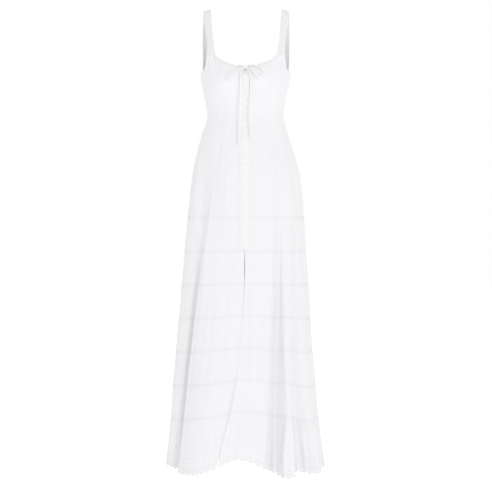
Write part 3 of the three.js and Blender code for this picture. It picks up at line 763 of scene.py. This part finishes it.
# Flounce and hem lace. The flounce is a strip gathered into the last insertion: tight pleats at the seam
# open into soft uneven waves. A wide scalloped lace is sewn to its edge and waves with it.
HEM_LACE = 52
LACE_TOP = HEM + HEM_LACE
SCALLOP, SCALLOP_DEPTH, SCALLOP_SHAPE = 19.0, 7.0, 0.7
FLOUNCE_COLUMNS = 1100
FLOUNCE_ROWS = 36
HEM_ROWS = 20
# Waves of the gathers: length at the hem, how far they stand out there, phase, and how unevenly they run
WAVES = [
    # mm, mm, turns, sway in turns, sway length in mm
    (31.0, 4.6, 0.10, 0.55, 310.0),
    (23.0, 2.6, 0.45, 0.40, 170.0),
    (52.0, 3.4, 0.80, 0.45, 420.0),
    (13.5, 0.9, 0.30, 0.35, 95.0),
]
WAVE_GROWTH = 0.8
UNEVEN, UNEVEN_LENGTH = 0.25, 3.7
SWAY_PHASE, UNEVEN_PHASE = 7, 11
# Pleats at the seam: pitch, how far they stand out, how far down they fade in and out, and how they sway
GATHER_PITCH, GATHER_OUT, GATHER_START, GATHER_FADE = 8.5, 1.3, 2.5, 46.0
GATHER_SWAY, GATHER_SWAY_LENGTH = 1.3, 37.0
# Share of the gathers all round, and what is added to it near an angle: share, angle, spread
EVEN_SHARE = 0.7
FLAT_FRONT = (-0.6, -35, 42)
FULL_LOBE = (0.7, 50, 18)
FLOUNCE_HEM_OUT, FLOUNCE_HEM_WIDTH = 0.25, 2.0
flounce_turns = np.linspace(0, 1, FLOUNCE_COLUMNS)[None, :]
seam_run = lengths(skin(skirt_deg(flounce_turns, FLOUNCE_TOP), FLOUNCE_TOP + 0 * flounce_turns), 1)[0]


def gathered(z):
    """How far the gathered strip stands off the form at a height, for every column."""
    fall = FLOUNCE_TOP - z
    grown = np.clip(fall / (FLOUNCE_TOP - HEM), 0, 1)
    out = np.zeros(np.broadcast(z, seam_run).shape)
    for length, height, phase, sway, sway_length in WAVES:
        drift = sway * np.sin(2 * math.pi * seam_run / sway_length + SWAY_PHASE * phase)
        slow = np.sin(2 * math.pi * seam_run / (UNEVEN_LENGTH * length) + UNEVEN_PHASE * phase)
        uneven = 1 - UNEVEN + UNEVEN * slow
        wave = np.sin(2 * math.pi * (seam_run / length + phase + drift))
        out = out + height * grown**WAVE_GROWTH * uneven * wave
    tuck = GATHER_OUT * np.exp(-fall / GATHER_FADE) * (1 - np.exp(-fall / GATHER_START))
    pleat_sway = GATHER_SWAY * np.sin(seam_run / GATHER_SWAY_LENGTH)
    return out + tuck * np.sin(2 * math.pi * seam_run / GATHER_PITCH + pleat_sway)


def gather_share(deg):
    """The gathers stand out most on the lobe to the wearer's left and lie flatter across the front."""
    total = EVEN_SHARE
    for added, centre, spread in (FLAT_FRONT, FULL_LOBE):
        total = total + added * bell(wrap(deg - centre) / spread)
    return total


def flounce_sheet(z):
    """A grid of the gathered cloth at rows of heights, all round."""
    deg = skirt_deg(flounce_turns, z)
    z = z + 0 * deg
    return cloth(deg, z, gathered(z) * gather_share(deg) + overlap(flounce_turns, z))


z = np.linspace(FLOUNCE_TOP + SEAM / 2 + HEADING, LACE_TOP - HEADING, FLOUNCE_ROWS)[:, None]
points = flounce_sheet(z)
hem_out = FLOUNCE_HEM_OUT * bell((z - LACE_TOP) / FLOUNCE_HEM_WIDTH)[..., None]
points += hem_out * facing(skirt_deg(flounce_turns, z), z + 0 * flounce_turns)
flounce = shell("gathered_flounce", points, CLOTH, cotton_finish.material)
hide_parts("flounce")

# The hem lace's pattern is two rows of beading, with a flower and a ring of beads in every scallop.
# Rows of beading: distance from the upper edge, radius
HEM_BEADING = ((3.5, 1.2), (16.0, 1.1))
# Rings of holes: distance from the upper edge, radius, half width of the ring, holes round it, narrower by
FLOWER = (33.0, 4.6, 1.5, 6, -0.1)
EDGE_BEADS = (40.0, 7.6, 0.8, 14, 0.0)
hem_finish = Finish("hem_lace", LACE_COLOUR, roughness=0.85, sheen=0.2)
hem_u, hem_v = hem_finish.uv()
hem_cell = hem_finish.repeat(hem_u, SCALLOP)
fine_cell = hem_finish.repeat(hem_u, SCALLOP / 4, shift=1.0)
beading, second = (
    hem_finish.inside(hem_finish.radius(fine_cell, hem_finish.from_row(hem_v, row)), radius)
    for row, radius in HEM_BEADING)


def ring_of_holes(row, radius, half_width, count, narrower):
    """Holes round a circle in the middle of every scallop."""
    down = hem_finish.from_row(hem_v, row)
    from_ring = hem_finish.math("SUBTRACT", hem_finish.radius(hem_cell, down), radius)
    ring = hem_finish.inside(hem_finish.math("ABSOLUTE", from_ring), half_width)
    angle = hem_finish.math("ARCTAN2", down, hem_cell)
    turns_round = hem_finish.math("COSINE", hem_finish.math("MULTIPLY", angle, count))
    between = hem_finish.inside(hem_finish.math("MULTIPLY", turns_round, -1.0), narrower)
    return hem_finish.math("MULTIPLY", ring, between)


hem_holes = hem_finish.math("MAXIMUM", hem_finish.math("MAXIMUM", beading, second), ring_of_holes(*FLOWER))
hem_holes = hem_finish.math("MAXIMUM", hem_holes, ring_of_holes(*EDGE_BEADS))
hem_finish.holes(hem_holes, net=0.9)
hem_finish.bump(hem_holes, depth=-0.2, strength=0.35)

scallops = round(seam_run[-1] / SCALLOP)
scallop_place = seam_run / seam_run[-1] * scallops
scallop_edge = HEM + SCALLOP_DEPTH * (1 - np.abs(np.sin(math.pi * scallop_place)) ** SCALLOP_SHAPE)
share = np.linspace(0, 1, HEM_ROWS)[:, None]
z = LACE_TOP + (scallop_edge[None, :] - LACE_TOP) * share
points = flounce_sheet(z)
uv = np.stack([np.broadcast_to((scallop_place - 0.5) * SCALLOP, z.shape), LACE_TOP - z], -1)
hem_lace = shell("scalloped_hem", points, LACE, hem_finish.material, uv)
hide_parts("hem_lace")

# Button stand. A narrow doubled strip, stitched along both sides, runs from under the keyhole to the slit
# and carries a close row of small buttons covered in the same cotton.
STAND = 14
STAND_TOP_SHARE = 0.05
STAND_COLUMNS, STAND_ROWS = 15, 260
STAND_OUT, STAND_STITCH_WIDTH = 0.3, 0.8
STAND_END = TOP_HEM - TIER_PITCH + SEAM
stand_top = top_edge(0) + (TOP_HEM + SEAM - top_edge(0)) * STAND_TOP_SHARE
z = np.linspace(stand_top, STAND_END, STAND_ROWS)[:, None]
across = np.linspace(-STAND, STAND, STAND_COLUMNS)[None, :]
deg = deg_across(CENTRE + across + 0 * z, z + 0 * across)
stand_edge = STAND - np.abs(across)
stand_stitches = STITCH_DIP * bell((stand_edge - STITCH_LINE) / STAND_STITCH_WIDTH)
points = cloth(deg, z + 0 * across, SEAM + CLOTH + STAND_OUT - stand_stitches + 0 * z)
STAND_COLOUR = (0.80, 0.802, 0.81)
stand_finish = Finish("doubled_cotton", STAND_COLOUR, roughness=0.9, sheen=0.25)
stand_finish.bump(stand_finish.noise(60.0), depth=1.6, strength=0.35)
stand = shell("buttoned_stand", points, CLOTH, stand_finish.material)
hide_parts("button_stand")

BUTTONS = 27
BUTTON_FIRST, BUTTON_LAST = -226, -751
BUTTON_RADIUS, BUTTON_HEIGHT, BUTTON_OUT = 5.2, 3.6, 0.4
BUTTON_SIDES = 40
# Painted highlight: the buttons are coloured lighter than their cotton, for the light on their domed tops.
BUTTON_HIGHLIGHT_COLOUR = (0.84, 0.84, 0.85)
highlight_button_finish = Finish("covered_button_painted_highlight", BUTTON_HIGHLIGHT_COLOUR, roughness=0.55, sheen=0.3)
highlight_button_finish.bump(highlight_button_finish.noise(1600.0), depth=0.2, strength=0.4)
# Half profile of a button: share of the radius, share of the height
BUTTON_PROFILE = [
    (0.72, 0.0), (0.84, 0.06), (0.95, 0.22), (1.0, 0.40), (0.97, 0.58), (0.88, 0.75), (0.72, 0.88),
    (0.5, 0.96), (0.25, 0.99),
]
turn = np.linspace(0, 2 * math.pi, BUTTON_SIDES, endpoint=False)
for i in range(BUTTONS):
    z = BUTTON_FIRST + (BUTTON_LAST - BUTTON_FIRST) * i / (BUTTONS - 1)
    deg = deg_across(CENTRE, z)
    base = cloth(deg, z, SEAM + CLOTH + BUTTON_OUT)
    out = facing(deg, z)
    side = np.cross(out, (0, 0, 1.0))
    side /= np.linalg.norm(side)
    rise = np.cross(side, out)
    ring = np.outer(np.cos(turn), side) + np.outer(np.sin(turn), rise)
    points = np.vstack([
        base + BUTTON_RADIUS * wide * ring + BUTTON_HEIGHT * high * out for wide, high in BUTTON_PROFILE])
    faces = ring_faces(len(BUTTON_PROFILE), BUTTON_SIDES)
    button = mesh_piece(f"covered_button_painted_highlight_{i + 1:02d}", points, faces, highlight_button_finish.material)
    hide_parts(f"button_{i + 1:02d}")

# Stage and light. A white seamless room: the floor glows, so the dress stands on clean white, and a large
# soft light stands to the right of the camera.
FLOOR_Z = -1.56
HALF_FLOOR = 20.0
FLOOR_GREY, FLOOR_GLOW = 0.2, 0.9
floor_finish = Finish("white_floor", (FLOOR_GREY,) * 3, roughness=0.9)
floor_finish.surface.inputs["Emission Color"].default_value = (1, 1, 1, 1)
floor_finish.surface.inputs["Emission Strength"].default_value = FLOOR_GLOW
floor_mesh = bpy.data.meshes.new("floor")
floor_corners = [(x * HALF_FLOOR, y * HALF_FLOOR, FLOOR_Z) for x, y in ((-1, -1), (1, -1), (1, 1), (-1, 1))]
floor_mesh.from_pydata(floor_corners, [], [(0, 1, 2, 3)])
floor_mesh.materials.append(floor_finish.material)
floor = bpy.data.objects.new("floor", floor_mesh)
bpy.context.collection.objects.link(floor)

# The back wall of the room is white, and the rest a little darker, most of all by the wearer's left side.
ROOM_LIGHT, SIDE_LIGHT = 0.88, 0.78
WALL_START, WALL_END = 0.7, 0.96
world = bpy.data.worlds.new("white_room")
world.use_nodes = True
world_light = world.node_tree.nodes["Background"]
world_light.inputs["Color"].default_value = (1, 1, 1, 1)
world_place = world.node_tree.nodes.new("ShaderNodeTexCoord")
world_split = world.node_tree.nodes.new("ShaderNodeSeparateXYZ")
world_share = world.node_tree.nodes.new("ShaderNodeMapRange")
world_share.interpolation_type = "SMOOTHSTEP"
world_share.inputs["From Min"].default_value = WALL_START
world_share.inputs["From Max"].default_value = WALL_END
world_share.inputs["To Max"].default_value = 1.0
world_side = world.node_tree.nodes.new("ShaderNodeMapRange")
world_side.inputs["To Min"].default_value = ROOM_LIGHT
world_side.inputs["To Max"].default_value = SIDE_LIGHT
world_links = world.node_tree.links
world_links.new(world_place.outputs["Generated"], world_split.inputs[0])
world_links.new(world_split.outputs["Y"], world_share.inputs["Value"])
world_links.new(world_split.outputs["X"], world_side.inputs["Value"])
world_links.new(world_side.outputs[0], world_share.inputs["To Min"])
world_links.new(world_share.outputs[0], world_light.inputs["Strength"])
bpy.context.scene.world = world

KEY_PLACE, KEY_TARGET = Vector((1.2, -4.6, 0.6)), Vector((0, 0, -0.7))
KEY_SIZE, KEY_POWER = 0.9, 50
key_data = bpy.data.lights.new("key", "AREA")
key_data.shape = "DISK"
key_data.size = KEY_SIZE
key_data.energy = KEY_POWER
key = bpy.data.objects.new("key", key_data)
key.location = KEY_PLACE
key.rotation_euler = (KEY_TARGET - KEY_PLACE).to_track_quat("-Z", "Y").to_euler()
bpy.context.collection.objects.link(key)
bpy.context.scene.view_settings.view_transform = "Standard"
